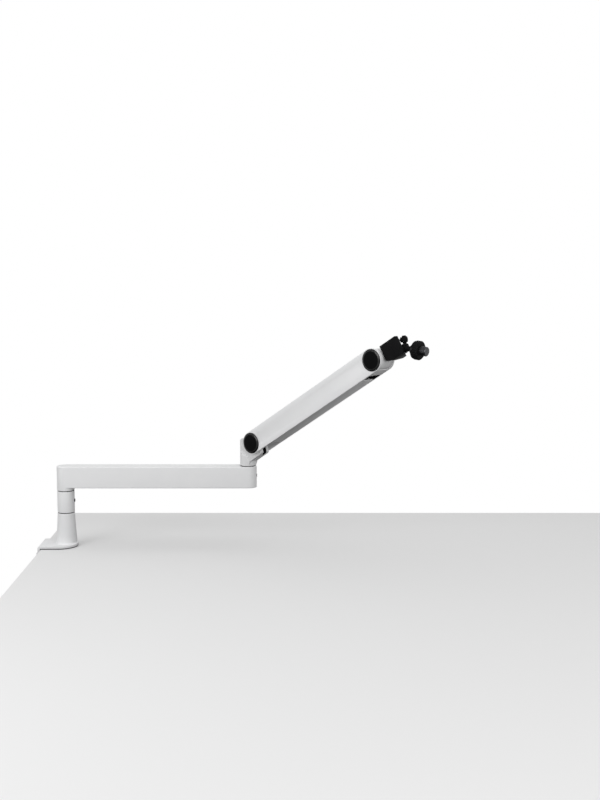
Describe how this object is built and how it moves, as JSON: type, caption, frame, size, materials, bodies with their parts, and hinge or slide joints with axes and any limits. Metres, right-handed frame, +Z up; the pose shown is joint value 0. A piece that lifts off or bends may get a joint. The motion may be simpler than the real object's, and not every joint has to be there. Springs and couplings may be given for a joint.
{
  "type": "microphone boom arm",
  "caption": "Desk-clamped microphone boom arm: C-clamp post, swivelling lower arm, spring-balanced upper arm with cable channels, and a locking ball head with a threaded stud.",
  "frame": {"origin": "axis of the post where it meets the desk top, on the underside of the rubber pad", "axes": "+X along the lower arm from post to elbow, -Y toward the viewer, +Z up"},
  "size_m": [0.7062, 0.2986, 0.5222],
  "materials": {
    "white_coat": "fine matte powder coat",
    "white_steel": "fine matte powder coat",
    "black_plastic": "moulded, satin",
    "black_metal": "black anodised, matte",
    "steel": "turned and brushed",
    "brass": "turned",
    "rubber": "matte",
    "white_plastic": "fine matte"
  },
  "bodies": {
    "base": {"clamp_frame": "white_steel", "top_pad": "rubber", "edge_pad": "rubber", "lower_jaw": "white_steel", "jaw_screws": "steel", "spindle_nut": "brass", "lower_seam_ring": "black_plastic", "riser_sleeve": "white_coat", "riser_bushes": "brass", "riser_screw": "black_metal", "friction_shoe": "brass", "upper_seam_ring": "black_plastic"},
    "clamp_foot": {"pressure_plate": "steel", "pressure_pad": "rubber"},
    "clamp_screw": {"clamp_spindle": "steel", "clamp_knob": "black_plastic"},
    "lower_arm": {"lower_arm_shell": "white_coat", "lower_arm_cover": "white_plastic", "swivel_shaft": "steel", "shaft_ring": "steel", "elbow_bush": "brass", "elbow_screw": "black_metal"},
    "knuckle": {"elbow_knuckle": "white_coat", "knuckle_ring": "black_plastic", "knuckle_nut": "steel", "elbow_axle": "steel", "elbow_washers": "steel", "band_drum": "steel"},
    "upper_arm": {"upper_arm_shell": "white_coat", "upper_arm_cover": "white_plastic", "elbow_bushes": "brass", "tip_bushes": "brass", "elbow_cap_near": "black_plastic", "elbow_cap_far": "black_plastic", "tip_cap_near": "black_plastic", "tip_cap_far": "black_plastic", "balance_spring": "steel", "spring_pin": "steel"},
    "carriage": {"spring_carriage": "steel", "pull_band": "steel"},
    "tip": {"tip_barrel": "white_coat", "tip_axle": "steel", "tip_washers": "black_plastic", "ball_housing": "black_metal", "housing_bolt": "steel"},
    "lock": {"lock_screw": "steel", "lock_knob": "black_plastic"},
    "cup": {"ball_cup": "white_plastic"},
    "ball": {"ball_stem": "black_metal"},
    "collar": {"stem_flange": "black_metal", "thread_stud": "steel"},
    "lock_ring": {"lock_ring": "black_metal"}
  },
  "joints": [
    {"name": "clamp_travel", "type": "slide", "parent": "base", "child": "clamp_foot", "axis": [0, 0, 1], "range_m": [-0.018, 0.018]},
    {"name": "clamp_turn", "type": "hinge", "parent": "clamp_foot", "child": "clamp_screw", "pos_m": [-0.002, 0, -0.06], "axis": [0, 0, 1], "range_deg": [-3241, 3241]},
    {"name": "base_swivel", "type": "hinge", "parent": "base", "child": "lower_arm", "pos_m": [0, 0, 0.09], "axis": [0, 0, 1], "continuous": true},
    {"name": "elbow_swivel", "type": "hinge", "parent": "lower_arm", "child": "knuckle", "pos_m": [0.34, 0, 0.14], "axis": [0, 0, 1], "range_deg": [-109, 190]},
    {"name": "elbow_lift", "type": "hinge", "parent": "knuckle", "child": "upper_arm", "pos_m": [0.35935, -0.01676, 0.1994], "axis": [-0.6547, -0.7559, 0], "range_deg": [-50, 45]},
    {"name": "spring_travel", "type": "slide", "parent": "upper_arm", "child": "carriage", "axis": [0.6452, -0.5589, 0.521], "range_m": [-0.0071, 0.0064], "deforming": ["balance_spring"]},
    {"name": "tip_tilt", "type": "hinge", "parent": "upper_arm", "child": "tip", "pos_m": [0.56838, -0.19783, 0.36821], "axis": [-0.6547, -0.7559, 0], "range_deg": [-60, 60]},
    {"name": "lock_turn", "type": "hinge", "parent": "tip", "child": "lock", "pos_m": [0.6013, -0.22635, 0.40299], "axis": [0.9815, -0.1285, 0.1421], "range_deg": [-360, 90]},
    {"name": "ball_nod", "type": "hinge", "parent": "tip", "child": "cup", "pos_m": [0.61099, -0.23474, 0.39043], "axis": [-0.5837, -0.8101, 0.0545], "range_deg": [-25, 25]},
    {"name": "ball_sway", "type": "hinge", "parent": "cup", "child": "ball", "pos_m": [0.61099, -0.23474, 0.39043], "axis": [-0.1128, 0.0145, -0.9935], "range_deg": [-25, 25]},
    {"name": "collar_turn", "type": "hinge", "parent": "ball", "child": "collar", "pos_m": [0.6233, -0.24371, 0.38891], "axis": [0.8041, -0.5861, -0.0999], "continuous": true},
    {"name": "lock_ring_turn", "type": "hinge", "parent": "collar", "child": "lock_ring", "pos_m": [0.63134, -0.24957, 0.38791], "axis": [0.8041, -0.5861, -0.0999], "continuous": true}
  ],
  "couplings": [
    {"joint": "clamp_turn", "follows": "clamp_travel", "rad_per_m": 3141.6},
    {"joint": "spring_travel", "follows": "elbow_lift", "m_per_rad": 0.008}
  ]
}
